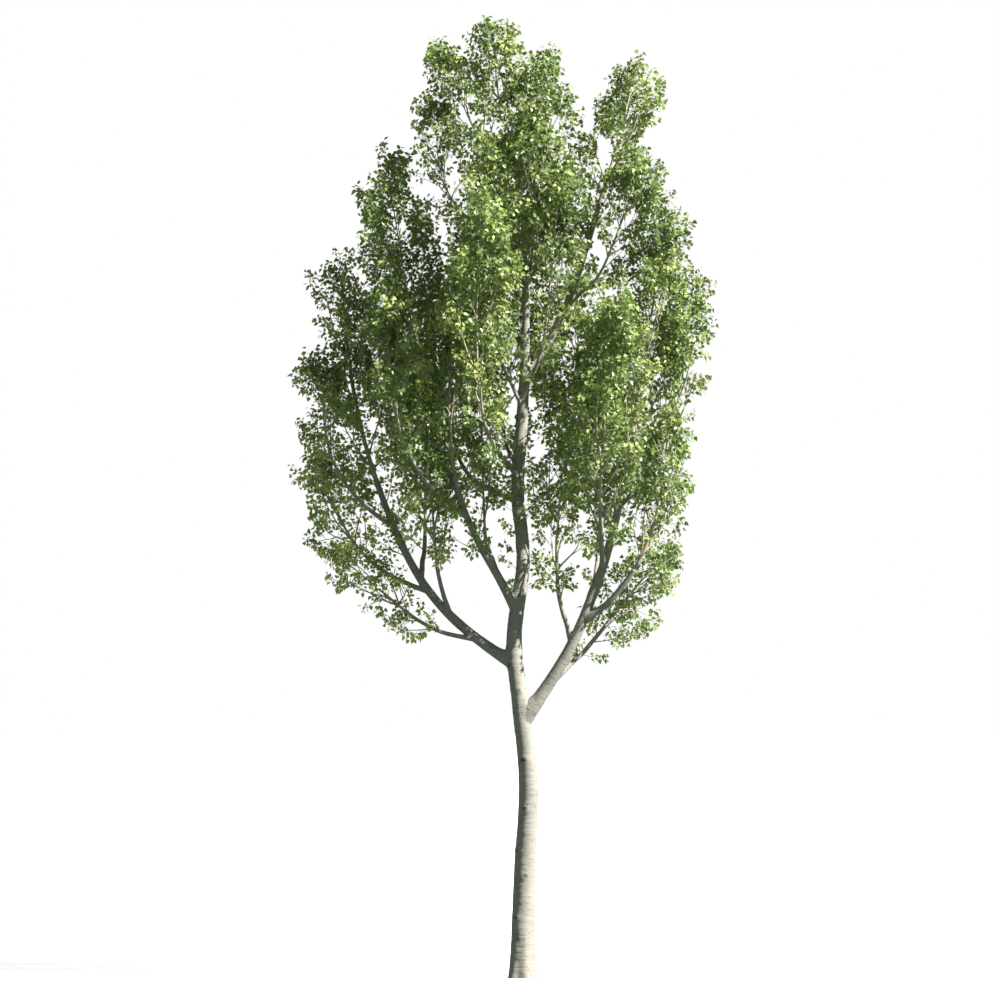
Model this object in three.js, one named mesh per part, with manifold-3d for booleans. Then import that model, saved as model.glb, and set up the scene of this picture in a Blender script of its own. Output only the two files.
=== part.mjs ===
// Poplar tree: a pale swaying trunk, upswept boughs and upright plumes of foliage.
// Millimetres, +Z up. The origin is the middle of the flat cut at ground level.
// Seen from the front, +X is to the right and +Y runs away from the viewer.
// A place is a bearing round the origin (0 right, 90 back, 180 left, 270 front), a reach and a height.
import * as THREE from "three";
import { mergeVertices } from "three/addons/utils/BufferGeometryUtils.js";
import Module from "manifold-3d";

const wasm = await Module();
wasm.setup();

const JOINT_GAP = 0.3;
const GOLDEN_ANGLE = 137.5;

// Trunk: height, sideways sway and radius at the places where its line turns.
const TRUNK_TOP = 11750;
const TRUNK_SIDES = 12;
const TRUNK_RINGS = 22;
const TRUNK_STATIONS = [
  { height: 0, sway: 0, radius: 150 },
  { height: 1250, sway: 32, radius: 138 },
  { height: 2450, sway: 80, radius: 121 },
  { height: 3450, sway: -25, radius: 104 },
  { height: 4250, sway: -98, radius: 98 },
  { height: 5250, sway: 15, radius: 84 },
  { height: 6100, sway: -54, radius: 82 },
  { height: 7000, sway: 0, radius: 74 },
  { height: 7650, sway: 35, radius: 62 },
  { height: 8600, sway: 48, radius: 40 },
  { height: 9300, sway: 20, radius: 30 },
  { height: 10200, sway: -45, radius: 22 },
  { height: 11000, sway: -180, radius: 15 },
  { height: 11750, sway: -370, radius: 7 },
];
const DEPTH_SWAY = 45;
const DEPTH_SWAY_LENGTH = 5200;
const ROOT_FLARE = 38;
const ROOT_FLARE_HEIGHT = 240;
const ROOT_LOBES = 5;
const ROOT_LOBE_DEPTH = 0.1;

// Boughs: the limb each leaves and the height where it does, the place of its tip, its slopes in degrees
// and its radii at root and tip. Sweep is how strongly the end slopes hold.
const BOUGH_SIDES = 6;
const BOUGH_RINGS = 6;
const BOUGH_SWEEP = 0.36;
const COLLAR = 0.22;
const bough = (name, from, at, tip, [launch, finish], [root, end], sweep = BOUGH_SWEEP) => {
  return { name, from, at, tip, launch, finish, root, end, sweep };
};
const BOUGHS = [
  bough("bough_right", "trunk", 3210, [350, 1330, 6420], [52, 80], [88, 42]),
  bough("bough_right_upright", "bough_right", 4180, [322, 560, 4980], [70, 86], [34, 24]),
  bough("bough_right_outer", "bough_right", 4460, [343, 1470, 5120], [30, 56], [46, 31]),
  bough("bough_right_low", "bough_right", 3680, [11, 1180, 4560], [38, 52], [39, 22]),
  bough("bough_right_back", "bough_right", 4560, [31, 1120, 5300], [46, 72], [38, 26]),
  bough("bough_right_front", "bough_right", 5150, [319, 1290, 5860], [44, 72], [38, 26]),
  bough("bough_right_far", "bough_right", 5900, [2, 1760, 6640], [38, 62], [32, 20]),
  bough("bough_left", "trunk", 3930, [167, 1890, 6260], [30, 70], [74, 36], 0.42),
  bough("bough_left_low", "bough_left", 4250, [182, 1490, 4620], [4, 40], [33, 20]),
  bough("bough_left_outer", "bough_left", 4850, [161, 2190, 5400], [15, 46], [34, 20]),
  bough("bough_left_high", "bough_left", 5680, [177, 2250, 6240], [25, 52], [30, 20]),
  bough("bough_left_upright", "bough_left", 4560, [184, 1070, 5180], [68, 80], [33, 23]),
  bough("bough_left_back", "bough_left", 5000, [145, 1500, 5560], [52, 76], [38, 26]),
  bough("bough_middle", "trunk", 4600, [199, 900, 6330], [62, 80], [61, 34]),
  bough("bough_middle_front", "bough_middle", 5780, [202, 1480, 6480], [34, 60], [36, 24]),
  bough("bough_middle_inner", "bough_middle", 5020, [198, 490, 5620], [76, 88], [29, 20]),
  bough("bough_left_tall", "bough_middle", 6000, [172, 1290, 7420], [60, 80], [33, 22]),
  bough("bough_back_left", "trunk", 5960, [125, 1430, 6620], [20, 60], [38, 24]),
  bough("bough_back_right", "trunk", 5800, [60, 1150, 6500], [36, 66], [34, 22]),
  bough("bough_back", "trunk", 6350, [104, 980, 6980], [34, 70], [30, 20]),
  bough("bough_high_front_left", "trunk", 7150, [234, 530, 8050], [50, 80], [25, 17]),
  bough("bough_high_front_right", "trunk", 7320, [304, 530, 8150], [50, 78], [26, 17]),
  bough("bough_high_right", "trunk", 7520, [6, 1040, 9900], [52, 72], [56, 32]),
  bough("bough_high_right_side", "bough_high_right", 8420, [345, 1080, 8960], [35, 62], [24, 15]),
  bough("bough_top_left", "trunk", 9000, [180, 840, 9720], [40, 52], [18, 13]),
  bough("bough_front_left", "trunk", 6250, [243, 1060, 7000], [38, 66], [32, 20]),
];

// Foliage: the limb each plume grows on, the place of its top, its half width, how far its leaves hang back
// below the root of its stem, and on the trunk the height where it leaves.
const plume = (name, on, top, width, drop, at) => {
  return { name, on, top, width, drop, at };
};
const FOLIAGE = [
  plume("foliage_top", "trunk", [180, 420, 12000], 420, 0, 10750),
  plume("foliage_top_left", "trunk", [182, 1100, 11730], 420, -500, 9720),
  plume("foliage_top_right", "trunk", [11, 290, 11640], 470, -300, 9400),
  plume("foliage_high_front", "trunk", [296, 370, 10910], 480, 0, 8700),
  plume("foliage_high_back", "trunk", [96, 720, 10820], 580, 0, 8350),
  plume("foliage_high_front_left", "bough_high_front_left", [226, 720, 10480], 480, 250),
  plume("foliage_high_front_right", "bough_high_front_right", [318, 660, 10330], 440, 250),
  plume("foliage_upper_left_tuft", "bough_top_left", [180, 1180, 11040], 350, 200),
  plume("foliage_high_right", "bough_high_right", [8, 1500, 11580], 490, 670),
  plume("foliage_high_right_side", "bough_high_right_side", [346, 1580, 10350], 400, 200),
  plume("foliage_right_shoulder", "bough_right", [352, 1860, 9720], 540, 150),
  plume("foliage_far_right", "bough_right_far", [2, 2180, 8800], 400, 100),
  plume("foliage_right_outer", "bough_right_outer", [346, 1960, 7120], 460, 300),
  plume("foliage_right_low", "bough_right_low", [8, 1890, 5410], 410, 560),
  plume("foliage_right_inner", "bough_right_upright", [327, 740, 7250], 390, 520),
  plume("foliage_right_back", "bough_right_back", [41, 1450, 8540], 560, 250),
  plume("foliage_right_front", "bough_right_front", [314, 1780, 8660], 510, 550),
  plume("foliage_back_right", "bough_back_right", [61, 1520, 8980], 570, 300),
  plume("foliage_back", "bough_back", [94, 1320, 9620], 580, 250),
  plume("foliage_back_left", "bough_back_left", [117, 1630, 8910], 580, 250),
  plume("foliage_left_tall", "bough_left_tall", [170, 1760, 10410], 560, 150),
  plume("foliage_left_shoulder", "bough_left", [168, 2390, 9050], 520, 150),
  plume("foliage_far_left", "bough_left_high", [174, 2610, 7800], 460, 200),
  plume("foliage_left_outer", "bough_left_outer", [164, 2760, 6680], 470, 500),
  plume("foliage_left_low", "bough_left_low", [182, 2420, 5390], 370, 560),
  plume("foliage_left_inner", "bough_left_upright", [180, 1200, 7000], 410, 250),
  plume("foliage_left_back", "bough_left_back", [141, 1680, 8600], 560, 200),
  plume("foliage_left_front", "bough_middle_front", [201, 1870, 8640], 510, 500),
  plume("foliage_middle", "bough_middle", [202, 800, 9150], 480, 200),
  plume("foliage_middle_inner", "bough_middle_inner", [208, 580, 7750], 350, 250),
  plume("foliage_front_left", "bough_front_left", [247, 1330, 9600], 490, 400),
];
const STEM_LAUNCH = 48;
const STEM_RADIUS = 16;
const STEM_END_RADIUS = 10;
const STEM_SIDES = 3;
const STEM_RINGS = 5;
const TWIGS = 5;
const TWIG_SIDES = 3;
const TWIG_RINGS = 1;
const TWIG_RADIUS = 14;
const TWIG_END_RADIUS = 13;
const TWIG_SPREAD = 42;
const TWIG_LIFT = 0.18;
const TWIG_STEP = 30;
const TWIG_REACH = 0.85;
const TWIG_LEAST = 120;
const LEAF_FAN = [0, 62, -62, 118, -118];
const LEAF_STEP = 0.14;
const LEAF_SWAY = 24;
const LEAF_TURNS = [1, 0.7, 1.3];
const LEAF_LENGTH = 700;
const LEAF_WIDTH = 0.8;
const LEAF_THICKNESS = 0.025;
const LEAF_BROADEST = 0.6;
const LEAF_SIZES = [1, 0.85, 0.7, 0.55];
const LEAF_GAP = 60;
const SPACE_MARGIN = 0.01;
const SPACE_EDGE = 1.18;
const WOOD_CLEARANCE = 35;
const SAMPLE_STEP = 40;

const BARK = { color: "#cfc7b4", roughness: 0.85, metalness: 0 };
const LEAF = { color: "#5c7d2c", roughness: 0.6, metalness: 0 };

const UP = new THREE.Vector3(0, 0, 1);
const radians = THREE.MathUtils.degToRad;

function placeOf([bearing, reach, height]) {
  const angle = radians(bearing);
  return new THREE.Vector3(reach * Math.cos(angle), reach * Math.sin(angle), height);
}

// A direction along a compass heading, raised by a slope.
function rising(heading, slope) {
  const level = Math.cos(radians(slope));
  return new THREE.Vector3(level * Math.cos(heading), level * Math.sin(heading), Math.sin(radians(slope)));
}

// A repeatable number from 0 to 1 for each pair of whole numbers.
function chance(seed, index) {
  const wave = Math.sin(seed * 12.9898 + index * 78.233) * 43758.5453;
  return wave - Math.floor(wave);
}

// A smooth value between the trunk's stations.
function stationValue(key, height) {
  const last = TRUNK_STATIONS.length - 1;
  let low = 0;
  while (low < last - 1 && TRUNK_STATIONS[low + 1].height < height) {
    low += 1;
  }
  const slopeAt = (index) => {
    const before = TRUNK_STATIONS[Math.max(index - 1, 0)];
    const after = TRUNK_STATIONS[Math.min(index + 1, last)];
    return (after[key] - before[key]) / (after.height - before.height);
  };
  const a = TRUNK_STATIONS[low];
  const b = TRUNK_STATIONS[low + 1];
  const span = b.height - a.height;
  const t = (height - a.height) / span;
  const ease = t * t * (3 - 2 * t);
  const bendOut = t * (1 - t) * (1 - t) * span * slopeAt(low);
  const bendIn = t * t * (t - 1) * span * slopeAt(low + 1);
  return a[key] + (b[key] - a[key]) * ease + bendOut + bendIn;
}

function trunkPoint(height) {
  const away = DEPTH_SWAY * Math.sin((height / DEPTH_SWAY_LENGTH) * 2 * Math.PI);
  return new THREE.Vector3(stationValue("sway", height), away, height);
}

function trunkRadius(height) {
  return stationValue("radius", height) + ROOT_FLARE * Math.exp(-height / ROOT_FLARE_HEIGHT);
}

// The trunk has level rings, closer together near the ground, and a lobed root flare.
function trunkGeometry(growth) {
  const geometry = new THREE.CylinderGeometry(1, 1, 1, TRUNK_SIDES, TRUNK_RINGS);
  const points = geometry.attributes.position;
  for (let i = 0; i < points.count; i += 1) {
    const height = TRUNK_TOP * Math.pow(points.getY(i) + 0.5, 1.3);
    const angle = Math.atan2(-points.getZ(i), points.getX(i));
    const lobe = 1 + ROOT_LOBE_DEPTH * Math.cos(ROOT_LOBES * angle) * Math.exp(-height / ROOT_FLARE_HEIGHT);
    const radius = trunkRadius(height) * lobe + growth;
    const middle = trunkPoint(height);
    points.setXYZ(i, middle.x + points.getX(i) * radius, middle.y - points.getZ(i) * radius, height);
  }
  return geometry;
}

// A closed tapering tube bent along a curve.
function limbGeometry(curve, radiusAt, sides, rings) {
  const geometry = new THREE.CylinderGeometry(1, 1, 1, sides, rings);
  const frames = curve.computeFrenetFrames(rings, false);
  const points = geometry.attributes.position;
  for (let i = 0; i < points.count; i += 1) {
    const ring = Math.round((points.getY(i) + 0.5) * rings);
    const radius = radiusAt(ring / rings);
    const spot = curve.getPointAt(ring / rings);
    spot.addScaledVector(frames.binormals[ring], points.getX(i) * radius);
    spot.addScaledVector(frames.normals[ring], points.getZ(i) * radius);
    points.setXYZ(i, spot.x, spot.y, spot.z);
  }
  return geometry;
}

function solidOf(geometry) {
  const bare = new THREE.BufferGeometry();
  bare.setAttribute("position", geometry.attributes.position);
  bare.setIndex(geometry.index);
  const welded = mergeVertices(bare, 0.001);
  const mesh = new wasm.Mesh({
    numProp: 3,
    vertProperties: new Float32Array(welded.attributes.position.array),
    triVerts: new Uint32Array(welded.index.array),
  });
  return new wasm.Manifold(mesh);
}

// The largest whole piece of a solid, without loose scraps or sealed hollows.
function largestPiece(solid) {
  const pieces = solid.decompose();
  return pieces.reduce((best, piece) => (piece.volume() > best.volume() ? piece : best));
}

function geometryOf(solid) {
  const shape = solid.getMesh();
  const geometry = new THREE.BufferGeometry();
  geometry.setAttribute("position", new THREE.Float32BufferAttribute(shape.vertProperties, 3));
  geometry.setIndex(Array.from(shape.triVerts));
  return geometry;
}

function meshOf(name, solid, look) {
  const welded = solidOf(geometryOf(largestPiece(solid)));
  const geometry = geometryOf(largestPiece(welded));
  geometry.computeVertexNormals();
  const mesh = new THREE.Mesh(geometry, new THREE.MeshStandardMaterial(look));
  mesh.name = name;
  return mesh;
}

// Every limb keeps its centre line, its radius along it and its solid grown by the joint gap.
const limbs = new Map();
limbs.set("trunk", {
  pointAt: trunkPoint,
  samples: Array.from({ length: 236 }, (_, i) => ({ spot: trunkPoint(i * 50), radius: trunkRadius(i * 50) })),
  grown: solidOf(trunkGeometry(JOINT_GAP)),
});

function boughCurve(row) {
  const start = limbs.get(row.from).pointAt(row.at);
  const finish = placeOf(row.tip);
  const heading = Math.atan2(finish.y - start.y, finish.x - start.x);
  const handle = start.distanceTo(finish) * row.sweep;
  const leave = start.clone().addScaledVector(rising(heading, row.launch), handle);
  const arrive = finish.clone().addScaledVector(rising(heading, row.finish), -handle);
  return new THREE.CubicBezierCurve3(start, leave, arrive, finish);
}

// The point of a rising curve at a height.
function curvePointAt(curve, height) {
  let low = 0;
  let high = 1;
  for (let i = 0; i < 40; i += 1) {
    const middle = (low + high) / 2;
    if (curve.getPoint(middle).z < height) {
      low = middle;
    } else {
      high = middle;
    }
  }
  return curve.getPoint(low);
}

function growBough(row) {
  const curve = boughCurve(row);
  const length = curve.getLength();
  const radiusAt = (u) => {
    const taper = row.root + (row.end - row.root) * Math.pow(u, 0.85);
    return taper * (1 + COLLAR * Math.exp((-u * length) / (2 * row.root)));
  };
  const grownBy = (growth) =>
    solidOf(limbGeometry(curve, (u) => radiusAt(u) + growth, BOUGH_SIDES, BOUGH_RINGS));
  limbs.set(row.name, {
    pointAt: (height) => curvePointAt(curve, height),
    samples: samplesAlong(curve, radiusAt),
    grown: grownBy(JOINT_GAP),
    tip: curve.getPoint(1),
    tipDirection: curve.getTangent(1),
    tipRadius: row.end,
  });
  return grownBy(0).subtract(limbs.get(row.from).grown);
}

// Every plume's space and stem, in the order of the foliage table.
const spaces = [];
const stems = [];

// The plume's own space: an egg round the line from its foot to its top.
function leafSpace(row) {
  const limb = limbs.get(row.on);
  const root = row.on === "trunk" ? limb.pointAt(row.at) : limb.tip;
  const top = placeOf(row.top);
  const axis = top.clone().sub(root).normalize();
  const foot = root.clone().addScaledVector(axis, -row.drop);
  return {
    root,
    top,
    axis,
    centre: foot.clone().add(top).multiplyScalar(0.5),
    halfLength: foot.distanceTo(top) / 2,
    width: row.width,
  };
}

// 0 at the middle of a space and 1 on its edge.
function depthIn(space, spot) {
  const offset = spot.clone().sub(space.centre);
  const along = offset.dot(space.axis);
  const across = Math.sqrt(Math.max(offset.lengthSq() - along * along, 0));
  return Math.hypot(along / space.halfLength, across / space.width);
}

// The level direction away from the middle line of a space.
function outwardFrom(space, spot) {
  const offset = spot.clone().sub(space.centre);
  return offset.addScaledVector(space.axis, -offset.dot(space.axis)).normalize();
}

function isOwnSpace(own, spot, edge) {
  const depth = depthIn(spaces[own], spot);
  const isNearest = spaces.every((space, i) => i === own || depthIn(space, spot) > depth + SPACE_MARGIN);
  return depth <= edge && isNearest;
}

function samplesAlong(curve, radiusAt) {
  const count = Math.ceil(curve.getLength() / SAMPLE_STEP);
  return Array.from({ length: count + 1 }, (_, i) => ({
    spot: curve.getPointAt(i / count),
    radius: radiusAt(i / count),
  }));
}

// Whether a point is clear of the trunk, the boughs and every plume's stem but its own.
function isClearOfWood(own, spot) {
  const isClear = (sample) => sample.spot.distanceTo(spot) > sample.radius + WOOD_CLEARANCE;
  for (const limb of limbs.values()) {
    if (!limb.samples.every(isClear)) {
      return false;
    }
  }
  return stems.every((stem, i) => i === own || stem.samples.every(isClear));
}

function stemOf(row, space) {
  const limb = limbs.get(row.on);
  const top = space.top.clone().addScaledVector(space.axis, -LEAF_LENGTH * 0.6);
  const heading = Math.atan2(top.y - space.root.y, top.x - space.root.x);
  const leave = row.on === "trunk" ? rising(heading, STEM_LAUNCH) : limb.tipDirection;
  const start = row.on === "trunk" ? space.root : space.root.clone().addScaledVector(leave, JOINT_GAP);
  const bend = start.clone().addScaledVector(leave, start.distanceTo(top) * 0.4);
  const curve = new THREE.QuadraticBezierCurve3(start, bend, top);
  const thick = row.on === "trunk" ? STEM_RADIUS : limb.tipRadius;
  const radiusAt = (u) => thick + (STEM_END_RADIUS - thick) * u;
  return { curve, radiusAt, samples: samplesAlong(curve, radiusAt) };
}

// A direction at right angles to another, turned round it.
function sideOf(direction, angle) {
  const level = new THREE.Vector3(-direction.y, direction.x, 0);
  if (level.length() < 0.05) {
    level.set(1, 0, 0);
  }
  level.addScaledVector(direction, -level.dot(direction)).normalize();
  return level.applyAxisAngle(direction, angle);
}

// The direction at an angle from one towards another at right angles to it.
function between(ahead, side, angle) {
  return ahead.clone().multiplyScalar(Math.cos(angle)).addScaledVector(side, Math.sin(angle));
}

// A straight twig, as long as its plume's space lets it be.
function twigCurve(own, start, direction) {
  let length = 0;
  const spotAt = (reach) =>
    start.clone().addScaledVector(direction, reach).addScaledVector(UP, (TWIG_LIFT * reach * reach) / 600);
  while (isOwnSpace(own, spotAt(length + TWIG_STEP), TWIG_REACH) && length < 900) {
    length += TWIG_STEP;
  }
  return { length, curve: new THREE.LineCurve3(start, spotAt(length)) };
}

function isTwigClear(own, twig) {
  const steps = Math.ceil(twig.length / TWIG_STEP);
  for (let k = 1; k <= steps; k += 1) {
    if (!isClearOfWood(own, twig.curve.getPoint(k / steps))) {
      return false;
    }
  }
  return true;
}

// A leaf is a flat four-faced blade: a ridge from root to tip over a broad line from side to side.
function leafGeometry(root, direction, normal, length) {
  const geometry = new THREE.TetrahedronGeometry(1, 0);
  const across = new THREE.Vector3().crossVectors(normal, direction);
  const points = geometry.attributes.position;
  for (let i = 0; i < points.count; i += 1) {
    const x = Math.sign(points.getX(i));
    const y = Math.sign(points.getY(i));
    const isRidge = points.getZ(i) > 0;
    const along = isRidge ? (x + 1) / 2 : LEAF_BROADEST;
    const spread = isRidge ? 0 : (y * LEAF_WIDTH) / 2;
    const spot = root.clone().addScaledVector(direction, along * length);
    spot.addScaledVector(across, spread * length);
    spot.addScaledVector(normal, ((isRidge ? 1 : -1) * LEAF_THICKNESS * length) / 2);
    points.setXYZ(i, spot.x, spot.y, spot.z);
  }
  return geometry;
}

// Points spread over a leaf, to test its room.
function leafPoints(root, direction, normal, length) {
  const across = new THREE.Vector3().crossVectors(normal, direction);
  const spots = [];
  for (const along of [0.2, 0.3, 0.4, 0.5, LEAF_BROADEST, 0.7, 0.8, 0.9, 1]) {
    const share = along < LEAF_BROADEST ? along / LEAF_BROADEST : (1 - along) / (1 - LEAF_BROADEST);
    for (const side of [-1, -0.5, 0, 0.5, 1]) {
      const spot = root.clone().addScaledVector(direction, along * length);
      spots.push(spot.addScaledVector(across, (side * share * LEAF_WIDTH * length) / 2));
    }
  }
  return spots;
}

// One plume: a stem, twigs turning round it by the golden angle, and leaves along each twig.
function growFoliage(row, own) {
  const space = spaces[own];
  const stem = stems[own].curve;
  let wood = solidOf(limbGeometry(stem, stems[own].radiusAt, STEM_SIDES, STEM_RINGS));
  if (row.on === "trunk") {
    wood = wood.subtract(limbs.get("trunk").grown);
  }
  const pieces = [wood];
  const taken = [];

  const addLeaf = (root, direction, flat) => {
    for (const size of LEAF_SIZES) {
      const length = LEAF_LENGTH * size;
      const spots = leafPoints(root, direction, flat, length);
      const isRoomy =
        spots.every((spot) => isOwnSpace(own, spot, SPACE_EDGE)) &&
        spots.every((spot) => isClearOfWood(own, spot)) &&
        !taken.some((other) => spots.some((spot) => spot.distanceTo(other) < LEAF_GAP));
      if (isRoomy) {
        pieces.push(solidOf(leafGeometry(root, direction, flat, length)));
        taken.push(...spots);
        return true;
      }
    }
    return false;
  };

  const lead = stem.getTangent(1);
  addLeaf(stem.getPoint(0.97), lead, sideOf(lead, radians(360 * chance(own, 0))));
  for (let i = 0; i < TWIGS; i += 1) {
    const u = 0.12 + (0.84 * (i + 0.5)) / TWIGS;
    const start = stem.getPointAt(u);
    const along = stem.getTangentAt(u);
    const outward = sideOf(along, radians(GOLDEN_ANGLE * i + 360 * chance(own, 1)));
    const spread = radians(TWIG_SPREAD + 16 * (chance(own, 10 + i) - 0.5));
    const twig = twigCurve(own, start, between(along, outward, spread));
    if (twig.length < TWIG_LEAST || !isTwigClear(own, twig)) {
      continue;
    }
    const taper = (t) => TWIG_RADIUS + (TWIG_END_RADIUS - TWIG_RADIUS) * t;
    pieces.push(solidOf(limbGeometry(twig.curve, taper, TWIG_SIDES, TWIG_RINGS)));
    LEAF_FAN.forEach((turn, k) => {
      const t = 0.97 - LEAF_STEP * k;
      const spot = twig.curve.getPoint(t);
      const ahead = twig.curve.getTangent(t);
      const facing = outwardFrom(space, spot);
      facing.addScaledVector(ahead, -facing.dot(ahead)).normalize();
      const side = new THREE.Vector3().crossVectors(facing, ahead);
      const sway = LEAF_SWAY * (chance(own, 80 + i * 8 + k) - 0.5);
      LEAF_TURNS.some((share) => addLeaf(spot, between(ahead, side, radians(turn * share + sway)), facing));
    });
  }
  return wasm.Manifold.union(pieces);
}

const tree = new THREE.Group();
tree.name = "poplar_tree";
tree.add(meshOf("trunk", solidOf(trunkGeometry(0)), BARK));
for (const row of BOUGHS) {
  tree.add(meshOf(row.name, growBough(row), BARK));
}
spaces.push(...FOLIAGE.map(leafSpace));
stems.push(...FOLIAGE.map((row, index) => stemOf(row, spaces[index])));
FOLIAGE.forEach((row, index) => {
  tree.add(meshOf(row.name, growFoliage(row, index), LEAF));
});

export default tree;
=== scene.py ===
# Poplar tree: bark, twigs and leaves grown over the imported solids.
# Metres, +Z up, the same frame as the solids. Tables are in millimetres, as in the part's source.
import math

import bmesh
import bpy
import numpy as np
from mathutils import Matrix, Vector, noise


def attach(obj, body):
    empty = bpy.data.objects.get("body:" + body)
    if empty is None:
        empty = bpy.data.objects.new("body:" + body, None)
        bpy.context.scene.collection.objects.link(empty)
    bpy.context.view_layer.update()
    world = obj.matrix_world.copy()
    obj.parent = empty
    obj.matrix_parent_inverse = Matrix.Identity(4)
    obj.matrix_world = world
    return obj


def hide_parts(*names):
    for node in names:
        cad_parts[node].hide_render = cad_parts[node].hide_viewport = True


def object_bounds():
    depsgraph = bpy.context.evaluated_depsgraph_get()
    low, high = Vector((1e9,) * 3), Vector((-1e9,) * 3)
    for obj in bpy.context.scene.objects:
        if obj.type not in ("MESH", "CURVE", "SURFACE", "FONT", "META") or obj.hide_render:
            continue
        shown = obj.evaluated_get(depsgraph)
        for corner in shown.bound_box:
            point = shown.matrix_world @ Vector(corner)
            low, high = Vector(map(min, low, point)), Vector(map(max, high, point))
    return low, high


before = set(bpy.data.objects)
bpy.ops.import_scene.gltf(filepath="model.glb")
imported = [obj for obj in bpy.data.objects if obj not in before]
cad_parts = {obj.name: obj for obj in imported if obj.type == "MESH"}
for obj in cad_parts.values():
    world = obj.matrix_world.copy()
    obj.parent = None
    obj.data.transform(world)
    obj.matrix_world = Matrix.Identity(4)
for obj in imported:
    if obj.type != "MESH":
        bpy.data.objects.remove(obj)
cad_box = [[float(value) for value in corner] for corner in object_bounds()]

MM = 0.001
UP = np.array([0.0, 0.0, 1.0])
GOLDEN_ANGLE = math.radians(137.5)

# Trunk: height, sideways sway and radius at the places where its line turns.
TRUNK_TOP = 11750
TRUNK_STATIONS = np.array([
    (0, 0, 150), (1250, 32, 138), (2450, 80, 121), (3450, -25, 104), (4250, -98, 98),
    (5250, 15, 84), (6100, -54, 82), (7000, 0, 74), (7650, 35, 62), (8600, 48, 40),
    (9300, 20, 30), (10200, -45, 22), (11000, -180, 15), (11750, -370, 7),
], float)
DEPTH_SWAY = 45
DEPTH_SWAY_LENGTH = 5200
ROOT_FLARE = 38
ROOT_FLARE_HEIGHT = 240
ROOT_LOBES = 5
ROOT_LOBE_DEPTH = 0.1
TRUNK_SIDES = 52
TRUNK_RINGS = 640
TRUNK_RING_GATHER = 1.15

# Boughs: name, limb it leaves, height where it does, place of its tip as bearing, reach and height,
# slopes at both ends and radii at both ends.
BOUGHS = [
    ("bough_right", "trunk", 3210, (350, 1330, 6420), (52, 80), (88, 42)),
    ("bough_right_upright", "bough_right", 4180, (322, 560, 4980), (70, 86), (34, 24)),
    ("bough_right_outer", "bough_right", 4460, (343, 1470, 5120), (30, 56), (46, 31)),
    ("bough_right_low", "bough_right", 3680, (11, 1180, 4560), (38, 52), (39, 22)),
    ("bough_right_back", "bough_right", 4560, (31, 1120, 5300), (46, 72), (38, 26)),
    ("bough_right_front", "bough_right", 5150, (319, 1290, 5860), (44, 72), (38, 26)),
    ("bough_right_far", "bough_right", 5900, (2, 1760, 6640), (38, 62), (32, 20)),
    ("bough_left", "trunk", 3930, (167, 1890, 6260), (30, 70), (74, 36)),
    ("bough_left_low", "bough_left", 4250, (182, 1490, 4620), (4, 40), (33, 20)),
    ("bough_left_outer", "bough_left", 4850, (161, 2190, 5400), (15, 46), (34, 20)),
    ("bough_left_high", "bough_left", 5680, (177, 2250, 6240), (25, 52), (30, 20)),
    ("bough_left_upright", "bough_left", 4560, (184, 1070, 5180), (68, 80), (33, 23)),
    ("bough_left_back", "bough_left", 5000, (145, 1500, 5560), (52, 76), (38, 26)),
    ("bough_middle", "trunk", 4600, (199, 900, 6330), (62, 80), (61, 34)),
    ("bough_middle_front", "bough_middle", 5780, (202, 1480, 6480), (34, 60), (36, 24)),
    ("bough_middle_inner", "bough_middle", 5020, (198, 490, 5620), (76, 88), (29, 20)),
    ("bough_left_tall", "bough_middle", 6000, (172, 1290, 7420), (60, 80), (33, 22)),
    ("bough_back_left", "trunk", 5960, (125, 1430, 6620), (20, 60), (38, 24)),
    ("bough_back_right", "trunk", 5800, (60, 1150, 6500), (36, 66), (34, 22)),
    ("bough_back", "trunk", 6350, (104, 980, 6980), (34, 70), (30, 20)),
    ("bough_high_front_left", "trunk", 7150, (234, 530, 8050), (50, 80), (25, 17)),
    ("bough_high_front_right", "trunk", 7320, (304, 530, 8150), (50, 78), (26, 17)),
    ("bough_high_right", "trunk", 7520, (6, 1040, 9900), (52, 72), (56, 32)),
    ("bough_high_right_side", "bough_high_right", 8420, (345, 1080, 8960), (35, 62), (24, 15)),
    ("bough_top_left", "trunk", 9000, (180, 840, 9720), (40, 52), (18, 13)),
    ("bough_front_left", "trunk", 6250, (243, 1060, 7000), (38, 66), (32, 20)),
]
# How strongly a bough holds its slopes, and the one that holds them longer.
BOUGH_SWEEP = 0.36
LONG_SWEEPS = {"bough_left": 0.42}
BOUGH_RING_STEP = 0.024
BOUGH_WANDER = 0.012
BOUGH_TAPER = 0.85
# Sides round thick and thin boughs, and the radius that parts them.
BOUGH_SIDES = (28, 16)
THICK_BOUGH = 0.055
# A bough's foot inside its parent: how far down, in radii of its own and of the parent, its radius as a
# share of both, and how soon it is full. Then the swelling where it comes out, and how soon it fades.
FORK_LEAD = (2.2, 0.9)
FORK_FOOT = (0.7, 0.75)
FORK_FULL = 1.8
COLLAR = 0.16
COLLAR_FADE = 2.2
# Two limbs run together at a fork: how far from the seam, in root radii of the thinner, and how far along.
FORK_FILL = 1.5
FORK_REACH = 0.9

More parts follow.
